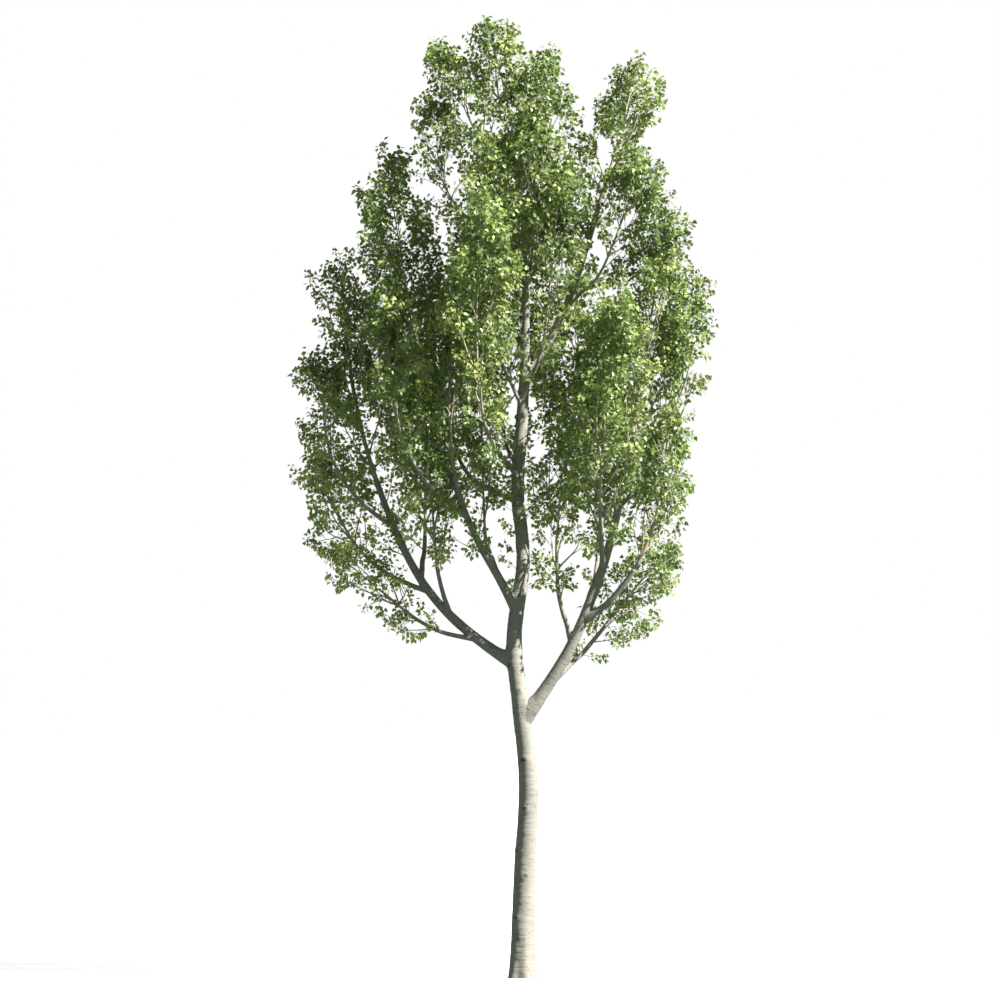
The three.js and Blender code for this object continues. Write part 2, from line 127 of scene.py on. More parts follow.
# Foliage: part of the crown, name, limb it grows on, place of its top, half width, how far its leaves
# hang back below the root of its stem, and on the trunk the height where it leaves.
FOLIAGE = [
    ("top", "foliage_top", "trunk", (180, 420, 12000), 420, 0, 10750),
    ("top", "foliage_top_left", "trunk", (182, 1100, 11730), 420, -500, 9720),
    ("top", "foliage_top_right", "trunk", (11, 290, 11640), 470, -300, 9400),
    ("top", "foliage_high_front", "trunk", (296, 370, 10910), 480, 0, 8700),
    ("top", "foliage_high_back", "trunk", (96, 720, 10820), 580, 0, 8350),
    ("middle", "foliage_high_front_left", "bough_high_front_left", (226, 720, 10480), 480, 250, 0),
    ("middle", "foliage_high_front_right", "bough_high_front_right", (318, 660, 10330), 440, 250, 0),
    ("top", "foliage_upper_left_tuft", "bough_top_left", (180, 1180, 11040), 350, 200, 0),
    ("top", "foliage_high_right", "bough_high_right", (8, 1500, 11580), 490, 670, 0),
    ("right", "foliage_high_right_side", "bough_high_right_side", (346, 1580, 10350), 400, 200, 0),
    ("right", "foliage_right_shoulder", "bough_right", (352, 1860, 9720), 540, 150, 0),
    ("right", "foliage_far_right", "bough_right_far", (2, 2180, 8800), 400, 100, 0),
    ("right", "foliage_right_outer", "bough_right_outer", (346, 1960, 7120), 460, 300, 0),
    ("right", "foliage_right_low", "bough_right_low", (8, 1890, 5410), 410, 560, 0),
    ("right", "foliage_right_inner", "bough_right_upright", (327, 740, 7250), 390, 520, 0),
    ("back", "foliage_right_back", "bough_right_back", (41, 1450, 8540), 560, 250, 0),
    ("right", "foliage_right_front", "bough_right_front", (314, 1780, 8660), 510, 550, 0),
    ("back", "foliage_back_right", "bough_back_right", (61, 1520, 8980), 570, 300, 0),
    ("back", "foliage_back", "bough_back", (94, 1320, 9620), 580, 250, 0),
    ("back", "foliage_back_left", "bough_back_left", (117, 1630, 8910), 580, 250, 0),
    ("left", "foliage_left_tall", "bough_left_tall", (170, 1760, 10410), 560, 150, 0),
    ("left", "foliage_left_shoulder", "bough_left", (168, 2390, 9050), 520, 150, 0),
    ("left", "foliage_far_left", "bough_left_high", (174, 2610, 7800), 460, 200, 0),
    ("left", "foliage_left_outer", "bough_left_outer", (164, 2760, 6680), 470, 500, 0),
    ("left", "foliage_left_low", "bough_left_low", (182, 2420, 5390), 370, 560, 0),
    ("left", "foliage_left_inner", "bough_left_upright", (180, 1200, 7000), 410, 250, 0),
    ("back", "foliage_left_back", "bough_left_back", (141, 1680, 8600), 560, 200, 0),
    ("middle", "foliage_left_front", "bough_middle_front", (201, 1870, 8640), 510, 500, 0),
    ("middle", "foliage_middle", "bough_middle", (202, 800, 9150), 480, 200, 0),
    ("middle", "foliage_middle_inner", "bough_middle_inner", (208, 580, 7750), 350, 250, 0),
    ("middle", "foliage_front_left", "bough_front_left", (247, 1330, 9600), 490, 400, 0),
]
STEM_LAUNCH = 48
STEM_RADIUS = 16
STEM_POINTS = 20
STEM_SIDES = 6
STEM_STOP = 0.42
STEM_BEND = 0.4
STEM_TAPER = 0.9
LEADER_STOP = 0.07
STEM_TIP_RADIUS = 0.004
# Side stems: how many, radius at the root, how far up and out they end, how much lower and at which
# point at most they leave, how far they lean out, how strongly both ends hold their slopes, the room they
# keep from limbs, and the spacing and length of their twigs.
SIDE_STEMS = 6
SIDE_STEM_RADIUS = 0.014
SIDE_STEM_RISE = (-0.3, 0.75)
SIDE_STEM_OUT = 0.66
SIDE_STEM_DROP = 0.75
SIDE_STEM_HIGHEST = 12
SIDE_STEM_LEAN = 0.9
SIDE_STEM_HOLD = (0.35, 0.4)
SIDE_STEM_ROOM = 0.03
SIDE_STEM_TWIGS = (0.115, 0.48)
# Twigs: the part of a stem, of a side stem and of a limb that carries them, and their spacing.
STEM_TWIG_SPAN = (0.06, 0.97)
SIDE_STEM_TWIG_SPAN = (0.35, 0.98)
LIMB_TWIG_SPAN = (0.3, 0.98)
LEAFY_DEPTH = 0.95
TWIG_SPACING = 0.16
LIMB_TWIG_SPACING = 0.085
TWIG_SPREAD = 42
TWIG_SPREAD_VARIES = 16
TWIG_THINNER = 0.7
TWIG_LIFT = 0.3
TWIG_STEP = 0.03
TWIG_REACH = (0.72, 1.14)
TWIG_LONGEST = 0.9
TWIG_LEAST = 0.1
TWIG_POINTS = 7
TWIG_SIDES = 5
TWIG_RADIUS = 0.009
TWIG_TIP_RADIUS = 0.0028
# Shoots: where along a twig they start, how far they spread and bend up, and the shorter lengths tried
# where a whole one would pass the edge.
SHOOT_START = 0.14
SHOOT_SPACING = 0.05
SHOOT_SPREAD = 50
SHOOT_SPREAD_SHARES = (0.75, 1.25)
SHOOT_LIFT = 0.5
SHOOT_LENGTH = (0.1, 0.23)
SHOOT_TRIES = (1, 0.7, 0.45)
SHOOT_EDGE = 0.12
SHOOT_POINTS = 4
SHOOT_SIDES = 3
SHOOT_RADIUS = 0.0034
LEAF_SPACING = {"top": 0.0165, "middle": 0.0175, "left": 0.0175, "right": 0.0152, "back": 0.0175}
LEAF_START = 0.2
LEAF_EDGE = 0.11
WOOD_CLEARANCE = 0.02
BOX_MARGIN = 0.02
# Shoots are few close to old wood: how far from limbs and from stems, less by limbs thinner than a
# radius, how much of a stem is old, and the share that stays.
LIMB_ROOM = 0.24
THIN_LIMB = 0.03
STEM_ROOM = 0.16
OLD_STEM_POINTS = 13
LIMB_SHARE = 0.5
STEM_SHARE = 0.24
# The sun stands to the right and a little towards the viewer, half way up the sky: strength and width.
SUN_FROM = (0.694, -0.297, 0.656)
SUN_STRENGTH = 12.1
SUN_WIDTH = 0.8
# Gaps between sprays that let it on to the trunk: half width, heights on the trunk, height of a gap and
# the next spray together, and the share of shoots that stays.
SUN_GAP = 0.18
SUN_GAP_HEIGHTS = (4.6, 8.0)
SUN_GAP_STEP = 0.62
SUN_GAP_SHARE = 0.1
# Short leafy shoots straight on bare limbs: limb, their number and heights, and the plumes that they are
# counted with on its left and on its right. Then their lengths and how far they spread.
LIMB_SHOOTS = [
    ("trunk", 14, (4.65, 6.3), ("foliage_middle_inner", "foliage_right_inner")),
    ("bough_right", 3, (4.5, 5.4), ("foliage_right_inner", "foliage_right_outer")),
    ("bough_right_low", 4, (3.88, 4.25), ("foliage_right_low", "foliage_right_low")),
    ("bough_left_low", 7, (4.32, 4.58), ("foliage_left_low", "foliage_left_low")),
]
LIMB_SHOOT_LENGTHS = (0.2, 0.36)
LIMB_SHOOT_SPREAD = 58
# Side twigs on the bare part of a bough: where they start along it, spacing, longest, the lowest height
# that has them, and how far past its plume's space they may reach.
SIDE_TWIG_START = 0.25
SIDE_TWIG_SPACING = 0.17
SIDE_TWIG_LONGEST = (0.25, 0.6)
SIDE_TWIG_LOWEST = 5.2
SIDE_TWIG_EDGE = 2.6
# Airy places, low down in the tall plumes and in the plumes named here: the share of twigs that stays.
OPEN_SHARE = 0.7
LOW_PLUME_TOP = 7.4
AIRY_PLUMES = ("foliage_right_inner",)

# A leaf: length, share of it across, and from stalk to tip the places of its edge along and across.
LEAF_LENGTH = 0.06
LEAF_SIZES = (0.72, 1.18)
LEAF_STALK = 0.042
STALK_LENGTHS = (0.6, 1.1)
LEAF_EDGE_PLACES = ((0.05, 0.30), (0.30, 0.44), (0.68, 0.23))
LEAF_FOLD = 0.26
LEAF_ARCH = 0.1
LEAF_STALK_WIDTH = 0.02
# How a stalk leans along its shoot, aside and up; how a leaf hangs along its stalk, down and at random;
# and how it faces out of its plume, up and at random.
STALK_LEAN = (0.5, 0.85, 0.15)
LEAF_HANG = (0.6, 0.5, 0.32)
LEAF_FACING = (0.45, 0.4, 0.75)
TINT_VARIES = 0.16

# Bark relief: size and depth of lumps, of cross wrinkles and of furrows at the foot, and depth of scars.
LUMPS = (0.3, 0.035)
WRINKLES = (0.16, 0.003)
WRINKLE_STRETCH = 5.5
FURROWS = (0.07, 0.012)
FURROW_HEIGHT = 0.5
SCAR_DEPTH = 0.012

FLOOR_RADIUS = 260
# Camera: 80 m away, looking very slightly up through a long lens.
CAMERA_AT = (-0.276, -80.0, 4.0)
CAMERA_TILT = 1.428
SENSOR = 36
LENS = 6.371

random_leaf = np.random.default_rng(41)


def linear(colour):
    """A hex sRGB colour as linear red, green, blue and alpha."""
    parts = [int(colour[i:i + 2], 16) / 255 for i in (1, 3, 5)]
    return [*(p / 12.92 if p <= 0.04045 else ((p + 0.055) / 1.055) ** 2.4 for p in parts), 1.0]


def add_node(tree, kind, settings=None, links=None):
    """Adds a node, sets its options and inputs by name, and links its inputs."""
    node = tree.nodes.new(kind)
    for key, value in (settings or {}).items():
        if isinstance(key, int) or key in node.inputs:
            node.inputs[key].default_value = value
        else:
            setattr(node, key, value)
    for key, socket in (links or {}).items():
        tree.links.new(socket, node.inputs[key])
    return node


def chance(seed, index):
    """A repeatable number from 0 to 1 for each pair of whole numbers."""
    wave = math.sin(seed * 12.9898 + index * 78.233) * 43758.5453
    return wave - math.floor(wave)


def part_way(ends, share):
    """A value part of the way between two."""
    return ends[0] + (ends[1] - ends[0]) * share


def unit(vectors):
    """Vectors brought to length one."""
    return vectors / np.maximum(np.linalg.norm(vectors, axis=-1, keepdims=True), 1e-9)


def place_of(place):
    """A point given by its bearing round the trunk, reach and height."""
    bearing, reach, height = place
    angle = math.radians(bearing)
    return np.array([reach * math.cos(angle), reach * math.sin(angle), height]) * MM


def rising(heading, slope):
    """A direction along a compass heading, raised by a slope."""
    level = math.cos(math.radians(slope))
    return np.array([level * math.cos(heading), level * math.sin(heading), math.sin(math.radians(slope))])


def side_of(direction, angle):
    """A direction at right angles to another, turned round it."""
    level = np.array([-direction[1], direction[0], 0.0])
    if np.linalg.norm(level) < 0.05:
        level = np.array([1.0, 0.0, 0.0])
    level = unit(level - direction * (level @ direction))
    return level * math.cos(angle) + np.cross(direction, level) * math.sin(angle)


def between(ahead, side, angle):
    """A direction turned by an angle from one towards another at right angles."""
    return ahead * math.cos(angle) + side * math.sin(angle)


def evenly(line, count):
    """A line's points set out again at even steps."""
    reach = np.concatenate([[0], np.cumsum(np.linalg.norm(np.diff(line, axis=0), axis=1))])
    wanted = np.linspace(0, reach[-1], count)
    return np.stack([np.interp(wanted, reach, line[:, k]) for k in range(3)], axis=1)


def bezier(knots):
    """A smooth curve drawn by its knots."""
    share = np.linspace(0, 1, 200)[:, None]
    layer = [knot + 0 * share for knot in knots]
    while len(layer) > 1:
        layer = [a * (1 - share) + b * share for a, b in zip(layer, layer[1:])]
    return layer[0]


def length_of(line):
    """The length of a line of points."""
    return float(np.sum(np.linalg.norm(np.diff(line, axis=0), axis=1)))


def frames_along(lines):
    """Along each of many lines: its direction and two directions at right angles, without twist."""
    ahead = unit(np.gradient(lines, axis=1))
    helper = np.where(np.abs(ahead[:, :1, 2]) < 0.9, UP, np.array([1.0, 0.0, 0.0]))
    side = np.cross(ahead[:, 0], helper)
    sides = np.empty_like(lines)
    for k in range(lines.shape[1]):
        side = unit(side - ahead[:, k] * np.sum(side * ahead[:, k], axis=1, keepdims=True))
        sides[:, k] = side
    return ahead, sides, np.cross(ahead, sides)


# The trunk and the boughs as centre lines with radii.

def station_value(column, height):
    """A smooth value between the trunk's stations."""
    heights, values = TRUNK_STATIONS[:, 0], TRUNK_STATIONS[:, column]
    last = len(heights) - 1
    low = np.clip(np.searchsorted(heights, height) - 1, 0, last - 1)
    before = np.maximum(np.arange(last + 1) - 1, 0)
    after = np.minimum(np.arange(last + 1) + 1, last)
    slopes = (values[after] - values[before]) / (heights[after] - heights[before])
    span = heights[low + 1] - heights[low]
    t = (height - heights[low]) / span
    bends = t * (1 - t) ** 2 * span * slopes[low] + t * t * (t - 1) * span * slopes[low + 1]
    return values[low] + (values[low + 1] - values[low]) * t * t * (3 - 2 * t) + bends


def trunk_line(height):
    """The middle of the trunk at each height."""
    away = DEPTH_SWAY * np.sin(height / DEPTH_SWAY_LENGTH * 2 * math.pi)
    return np.stack([station_value(1, height), away, height], axis=-1) * MM


def trunk_radius(height):
    """The radius of the trunk at each height, with its root flare."""
    return (station_value(2, height) + ROOT_FLARE * np.exp(-height / ROOT_FLARE_HEIGHT)) * MM


def limb_at(name, height):
    """The point, direction and radius of a limb at a height."""
    line, radius = limbs[name]
    ahead = unit(np.gradient(line, axis=0))
    pick = lambda values: np.interp(height * MM, line[:, 2], values)
    spot = np.array([pick(line[:, k]) for k in range(3)])
    return spot, unit(np.array([pick(ahead[:, k]) for k in range(3)])), pick(radius)


def bough_limb(row, seed):
    """The centre line of a bough and the radius along it."""
    name, parent, at, tip, slopes, radii = row
    start, parent_ahead, parent_radius = limb_at(parent, at)
    finish = place_of(tip)
    heading = math.atan2(finish[1] - start[1], finish[0] - start[0])
    handle = np.linalg.norm(finish - start) * LONG_SWEEPS.get(name, BOUGH_SWEEP)
    leave = start + rising(heading, slopes[0]) * handle
    arrive = finish - rising(heading, slopes[1]) * handle
    line = bezier([start, leave, arrive, finish])
    root, end = radii[0] * MM, radii[1] * MM
    # The bough parts from its parent in a smooth fork, from a foot lower down inside it.
    lead = max(FORK_LEAD[0] * root, FORK_LEAD[1] * parent_radius)
    joint = np.argmax(np.linalg.norm(line - start, axis=1) > lead)
    line = np.vstack([bezier([start - parent_ahead * lead, start, line[joint]]), line[joint + 1:]])
    length = length_of(line)
    line = evenly(line, max(int(length / BOUGH_RING_STEP), 12))
    u = np.linspace(0, 1, len(line))
    for axis in range(3):
        drift = sum(math.sin(seed + 5 * axis + k) / k * np.sin(math.pi * k * u) for k in (3, 4, 5, 7))
        line[:, axis] += BOUGH_WANDER * drift * np.sin(math.pi * u)
    # It swells where it comes out and narrows again inside.
    reach = u * length
    swell = 1 + COLLAR * np.exp(-np.maximum(reach - 2 * lead, 0) / (COLLAR_FADE * root))
    out = np.clip(reach / (FORK_FULL * lead), 0, 1)
    foot = min(FORK_FOOT[0] * root, FORK_FOOT[1] * parent_radius)
    full = (root + (end - root) * u ** BOUGH_TAPER) * swell
    return line, foot + (full - foot) * out * out * (3 - 2 * out)


ring_heights = TRUNK_TOP * np.linspace(0, 1, TRUNK_RINGS) ** TRUNK_RING_GATHER
limbs = {"trunk": (trunk_line(ring_heights), trunk_radius(ring_heights))}
for seed, row in enumerate(BOUGHS):
    limbs[row[0]] = bough_limb(row, seed)


def limb_points(step):
    """Every so-many-th point of all limbs, and the radii there."""
    spots = np.vstack([line[::step] for line, _ in limbs.values()])
    return spots, np.concatenate([radius[::step] for _, radius in limbs.values()])


def is_close(spots, wood, rooms):
    """Whether each spot lies within its room of any of the points of wood."""
    close = [(np.linalg.norm(some[:, None] - wood, axis=2) < rooms).any(axis=1)
             for some in np.array_split(spots, 40)]
    return np.concatenate(close)


# The plumes: a space, a stem, twigs, and shoots that carry the leaves.

def leaf_space(row):
    """An egg round the line from a plume's foot to its top."""
    _, _, limb, top, width, drop, at = row
    root = limb_at("trunk", at)[0] if limb == "trunk" else limbs[limb][0][-1]
    top = place_of(top)
    axis = unit(top - root)
    foot = root - axis * drop * MM
    return {"root": root, "top": top, "axis": axis, "centre": (foot + top) / 2,
            "half": np.linalg.norm(top - foot) / 2, "width": width * MM}


def depth_in(space, spots):
    """0 at the middle of a plume's space and 1 on its edge."""
    offset = spots - space["centre"]
    along = offset @ space["axis"]
    across = np.sqrt(np.maximum(np.sum(offset * offset, axis=-1) - along ** 2, 0))
    return np.hypot(along / space["half"], across / space["width"])


def stem_of(row, space):
    """A plume's stem, carried on as a thin leader to its top."""
    limb = row[2]
    line, radius = limbs[limb]
    end = space["top"] - space["axis"] * STEM_STOP
    heading = math.atan2(end[1] - space["root"][1], end[0] - space["root"][0])
    leave = rising(heading, STEM_LAUNCH) if limb == "trunk" else unit(line[-1] - line[-2])
    thick = STEM_RADIUS * MM if limb == "trunk" else radius[-1]
    bend = space["root"] + leave * np.linalg.norm(end - space["root"]) * STEM_BEND
    path = np.vstack([bezier([space["root"], bend, end]), space["top"] - space["axis"] * LEADER_STOP])
    path = evenly(path, STEM_POINTS)
    path[1:-1] = (path[:-2] + 2 * path[1:-1] + path[2:]) / 4
    return path, thick + (STEM_TIP_RADIUS - thick) * np.linspace(0, 1, STEM_POINTS) ** STEM_TAPER


def side_stem(own, line, radius, index):
    """A stem that leaves a plume's own one and runs up beside it, part of the way to the edge."""
    space = spaces[own]
    axis, half = space["axis"], space["half"]
    rise = part_way(SIDE_STEM_RISE, (index + 0.6 * chance(own, 800 + index)) / (SIDE_STEMS - 1))
    out = side_of(axis, GOLDEN_ANGLE * index + 2 * math.pi * chance(own, 799))
    end = space["centre"] + axis * (rise * half)
    end = end + out * (SIDE_STEM_OUT * space["width"] * math.sqrt(1 - rise * rise))
    along = (line - space["centre"]) @ axis
    low = int(np.clip(np.searchsorted(along, (rise - SIDE_STEM_DROP) * half), 1, SIDE_STEM_HIGHEST))
    reach = np.linalg.norm(end - line[low])
    leave = unit(line[low + 1] - line[low] + SIDE_STEM_LEAN * out * half / STEM_POINTS)
    bends = line[low] + leave * reach * SIDE_STEM_HOLD[0], end - axis * reach * SIDE_STEM_HOLD[1]
    path = evenly(bezier([line[low], *bends, end]), STEM_POINTS)
    spots, girths = limb_points(1)
    if is_close(path[4:], spots, girths + SIDE_STEM_ROOM).any():
        return None
    thick = min(SIDE_STEM_RADIUS, TWIG_THINNER * radius[low])
    return path, thick + (STEM_TIP_RADIUS - thick) * np.linspace(0, 1, STEM_POINTS)


def grow_twig(space, start, direction, edge, longest):
    """A twig that bends up and stops at the edge of its plume's space."""
    reach = np.arange(0, longest + TWIG_STEP, TWIG_STEP)
    spots = start + direction * reach[:, None] + UP * (TWIG_LIFT * reach ** 2)[:, None]
    inside = depth_in(space, spots) < edge
    steps = len(inside) if inside.all() else int(np.argmin(inside))
    if steps * TWIG_STEP < TWIG_LEAST:
        return None
    return evenly(spots[:steps], TWIG_POINTS)


stems, twigs, shoots = [], [], []
spaces = [leaf_space(row) for row in FOLIAGE]


def shoot_line(start, direction, length):
    """The points of a shoot that bends up a little."""
    reach = np.linspace(0, length, SHOOT_POINTS)
    return start + direction * reach[:, None] + UP * (SHOOT_LIFT * reach ** 2)[:, None]


def add_shoots(own, twig, seed, tint, edge):
    """Shoots along a twig, turning round it by the golden angle, and one that carries on from its tip."""
    space = spaces[own]
    ahead = unit(np.gradient(twig, axis=0))
    length = length_of(twig)
    count = max(int(length / SHOOT_SPACING), 2)
    for k in range(count + 1):
        t = SHOOT_START + (1 - SHOOT_START) * k / count
        at = t * (TWIG_POINTS - 1)
        low = min(int(at), TWIG_POINTS - 2)
        start = twig[low] + (twig[low + 1] - twig[low]) * (at - low)
        varied = SHOOT_SPREAD * part_way(SHOOT_SPREAD_SHARES, chance(seed, 3 * k))
        spread = math.radians(varied) if k < count else 0
        direction = between(ahead[low], side_of(ahead[low], GOLDEN_ANGLE * k + seed), spread)
        longest = part_way(SHOOT_LENGTH, chance(seed, 3 * k + 1))
        for share in SHOOT_TRIES:
            line = shoot_line(start, direction, longest * share)
            if depth_in(space, line[-1]) < edge + SHOOT_EDGE:
                shoots.append((own, line, tint, chance(seed, 3 * k + 2), edge))
                break


def add_twigs(own, line, radius, span, spacing, seed, is_side=False, longest=TWIG_LONGEST):
    """Twigs along a stem or part of a bough."""
    space = spaces[own]
    start, end = span
    ahead = unit(np.gradient(line, axis=0))
    length = length_of(line)
    count = max(int(length * (end - start) / spacing), 1)
    for i in range(count):
        u = start + (end - start) * (i + 0.5) / count
        low = min(int(u * (len(line) - 1)), len(line) - 2)
        part = u * (len(line) - 1) - low
        spot = line[low] + (line[low + 1] - line[low]) * part
        outward = side_of(ahead[low], GOLDEN_ANGLE * i + 2 * math.pi * chance(own, seed))
        spread = math.radians(TWIG_SPREAD + TWIG_SPREAD_VARIES * (chance(own, seed + 10 + i) - 0.5))
        share = chance(own, seed + 200 + i)
        edge = part_way(TWIG_REACH, share)
        if is_side:
            edge = SIDE_TWIG_EDGE
            longest = part_way(SIDE_TWIG_LONGEST, share)
        twig = grow_twig(space, spot, between(ahead[low], outward, spread), edge, longest)
        is_low = spot[2] < SIDE_TWIG_LOWEST
        is_airy = FOLIAGE[own][1] in AIRY_PLUMES or (is_low and space["top"][2] > LOW_PLUME_TOP)
        is_bare = (is_low and is_side) or (is_airy and chance(own, seed + 600 + i) > OPEN_SHARE)
        if twig is None or is_bare:
            continue
        thick = min(TWIG_RADIUS, TWIG_THINNER * radius[low])
        twigs.append((own, twig, thick))
        add_shoots(own, twig, own * 97 + seed + i, chance(own, seed + 400 + i), edge)


for own, row in enumerate(FOLIAGE):
    line, radius = stem_of(row, spaces[own])
    stems.append((own, line, radius))
    add_twigs(own, line, radius, STEM_TWIG_SPAN, TWIG_SPACING, 1)
    for index in range(SIDE_STEMS):
        made = side_stem(own, line, radius, index)
        if made:
            stems.append((own, *made))
            spacing, longest = SIDE_STEM_TWIGS
            add_twigs(own, *made, SIDE_STEM_TWIG_SPAN, spacing, 3000 + 100 * index, longest=longest)
    tip_shoot = np.linspace(line[-3], line[-1], TWIG_POINTS)
    add_shoots(own, tip_shoot, own * 97 + 50, chance(own, 700), 1.0)
    if row[2] != "trunk":
        # The end of the limb that lies inside the plume is leafy, and the part before it has side twigs.
        limb_line, limb_radius = limbs[row[2]]
        inside = np.argmax(depth_in(spaces[own], limb_line) < LEAFY_DEPTH) / len(limb_line)
        leafy = max(inside, LIMB_TWIG_SPAN[0])
        add_twigs(own, limb_line, limb_radius, (leafy, LIMB_TWIG_SPAN[1]), LIMB_TWIG_SPACING, 1000)
        add_twigs(own, limb_line, limb_radius, (SIDE_TWIG_START, leafy), SIDE_TWIG_SPACING, 2000, True)


def is_in_sun_gap(spots):
    """Whether each spot lies in a gap between the sun and the trunk."""
    level = unit(np.array(SUN_FROM[:2]))
    slope = SUN_FROM[2] / math.hypot(*SUN_FROM[:2])
    lit = spots[:, 2] - slope * (spots[:, :2] @ level)
    offset = spots[:, :2] - trunk_line(np.clip(lit / MM, 0, TRUNK_TOP))[:, :2]
    aside = np.abs(offset[:, 0] * level[1] - offset[:, 1] * level[0])
    is_open = np.sin(2 * math.pi * lit / SUN_GAP_STEP + 2 * np.sin(3 * lit)) > -0.3
    is_ahead = (aside < SUN_GAP) & (offset @ level > 0)
    return is_open & is_ahead & (lit > SUN_GAP_HEIGHTS[0]) & (lit < SUN_GAP_HEIGHTS[1])


def is_young(shoots):
    """Whether each shoot stands clear of old wood, or is one of the few that grow close to it."""
    middles = np.array([shoot[1][2] for shoot in shoots])
    limb_spots, girths = limb_points(4)
    by_limb = is_close(middles, limb_spots, girths + LIMB_ROOM * np.clip(girths / THIN_LIMB, 0.3, 1))
    old_stems = np.vstack([line[:OLD_STEM_POINTS] for _, line, _ in stems])
    by_stem = is_close(middles, old_stems, STEM_ROOM)
    share = np.where(by_stem, STEM_SHARE, np.where(by_limb, LIMB_SHARE, 1))
    share[is_in_sun_gap(middles)] = SUN_GAP_SHARE
    return np.array([shoot[3] for shoot in shoots]) < share


def limb_shoots(limb, count, heights, owners):
    """Short shoots straight on the bare part of a limb."""
    plumes = [row[1] for row in FOLIAGE]
    made = []
    for index in range(count):
        height = part_way(heights, (index + chance(index, 910)) / count)
        spot, ahead, radius = limb_at(limb, height / MM)
        out = side_of(ahead, GOLDEN_ANGLE * index)
        direction = between(ahead, out, math.radians(LIMB_SHOOT_SPREAD))
        length = part_way(LIMB_SHOOT_LENGTHS, chance(index, 911))
        line = shoot_line(spot + out * 0.9 * radius, direction, length)
        own = plumes.index(owners[int(out[0] > 0)])
        made.append((own, line, chance(index, 912), chance(index, 913), SIDE_TWIG_EDGE))
    return made


shoots = [shoot for shoot, young in zip(shoots, is_young(shoots)) if young]
for row in LIMB_SHOOTS:
    shoots += limb_shoots(*row)


# Leaves: turned round each shoot by the golden angle, hanging by their stalks.

def grow_leaves():
    """Every leaf's root, stalk end, direction, facing and length, with its plume and tint."""
    lines = np.array([shoot[1] for shoot in shoots])
    owners = np.array([shoot[0] for shoot in shoots])
    tints = np.array([shoot[2] for shoot in shoots])
    phases = np.array([shoot[3] for shoot in shoots])
    edges = np.array([shoot[4] for shoot in shoots]) + SHOOT_EDGE + LEAF_EDGE
    lengths = np.linalg.norm(lines[:, -1] - lines[:, 0], axis=1)
    spacings = np.array([LEAF_SPACING[row[0]] for row in FOLIAGE])[owners]
    counts = np.maximum((lengths / spacings).astype(int), 3)
    which = np.repeat(np.arange(len(shoots)), counts)
    order = np.arange(len(which)) - np.repeat(np.cumsum(counts) - counts, counts)
    t = LEAF_START + (1 - LEAF_START) * (order + 0.9) / counts[which]
    at = np.clip(t, 0, 0.999) * (SHOOT_POINTS - 1)
    low = at.astype(int)
    root = lines[which, low] + (lines[which, low + 1] - lines[which, low]) * (at - low)[:, None]
    ahead, sides, others = frames_along(lines)
    turn = order * GOLDEN_ANGLE + 2 * math.pi * phases[which]
    side = sides[which, low] * np.cos(turn)[:, None] + others[which, low] * np.sin(turn)[:, None]
    size = random_leaf.uniform(*LEAF_SIZES, len(which))
    stalk = unit(STALK_LEAN[0] * ahead[which, low] + STALK_LEAN[1] * side + STALK_LEAN[2] * UP)
    base = root + stalk * (LEAF_STALK * size * random_leaf.uniform(*STALK_LENGTHS, len(which)))[:, None]
    loose = random_leaf.normal(size=(len(which), 3))
    direction = unit(LEAF_HANG[0] * stalk - LEAF_HANG[1] * UP + LEAF_HANG[2] * loose)
    centres = np.array([space["centre"] for space in spaces])[owners[which]]
    outward = unit((base - centres) * [1, 1, 0.3])
    loose = random_leaf.normal(size=(len(which), 3))
    facing = LEAF_FACING[0] * outward + LEAF_FACING[1] * UP + LEAF_FACING[2] * loose
    facing = unit(facing - direction * np.sum(facing * direction, axis=1, keepdims=True))
    tint = np.clip(tints[which] + TINT_VARIES * (phases[which] - 0.5), 0, 0.999)
    return {"root": root, "base": base, "direction": direction, "facing": facing,
            "length": LEAF_LENGTH * size, "owner": owners[which], "edge": edges[which], "tint": tint}


def is_roomy(leaves):
    """Whether each leaf keeps in its plume's space and clear of the trunk and the boughs."""
    middle = leaves["base"] + leaves["direction"] * (0.5 * leaves["length"])[:, None]
    tip = leaves["base"] + leaves["direction"] * leaves["length"][:, None]
    roomy = np.ones(len(middle), bool)
    for own, space in enumerate(spaces):
        mine = leaves["owner"] == own
        roomy[mine] = depth_in(space, tip[mine]) < leaves["edge"][mine]
    spots, girths = limb_points(2)
    roomy &= ~is_close(middle, spots, girths + WOOD_CLEARANCE)
    lowest, highest = np.array(cad_box) + np.array([[-1], [1]]) * BOX_MARGIN * np.ptp(cad_box, axis=0)
    return roomy & (tip > lowest).all(axis=1) & (tip < highest).all(axis=1)


leaves = grow_leaves()
roomy = is_roomy(leaves)
leaves = {key: values[roomy] for key, values in leaves.items()}


# Materials.

def new_material(name):
    """A material with an empty node tree."""
    material = bpy.data.materials.new(name)
    material.use_nodes = True
    material.node_tree.nodes.clear()
    return material, material.node_tree


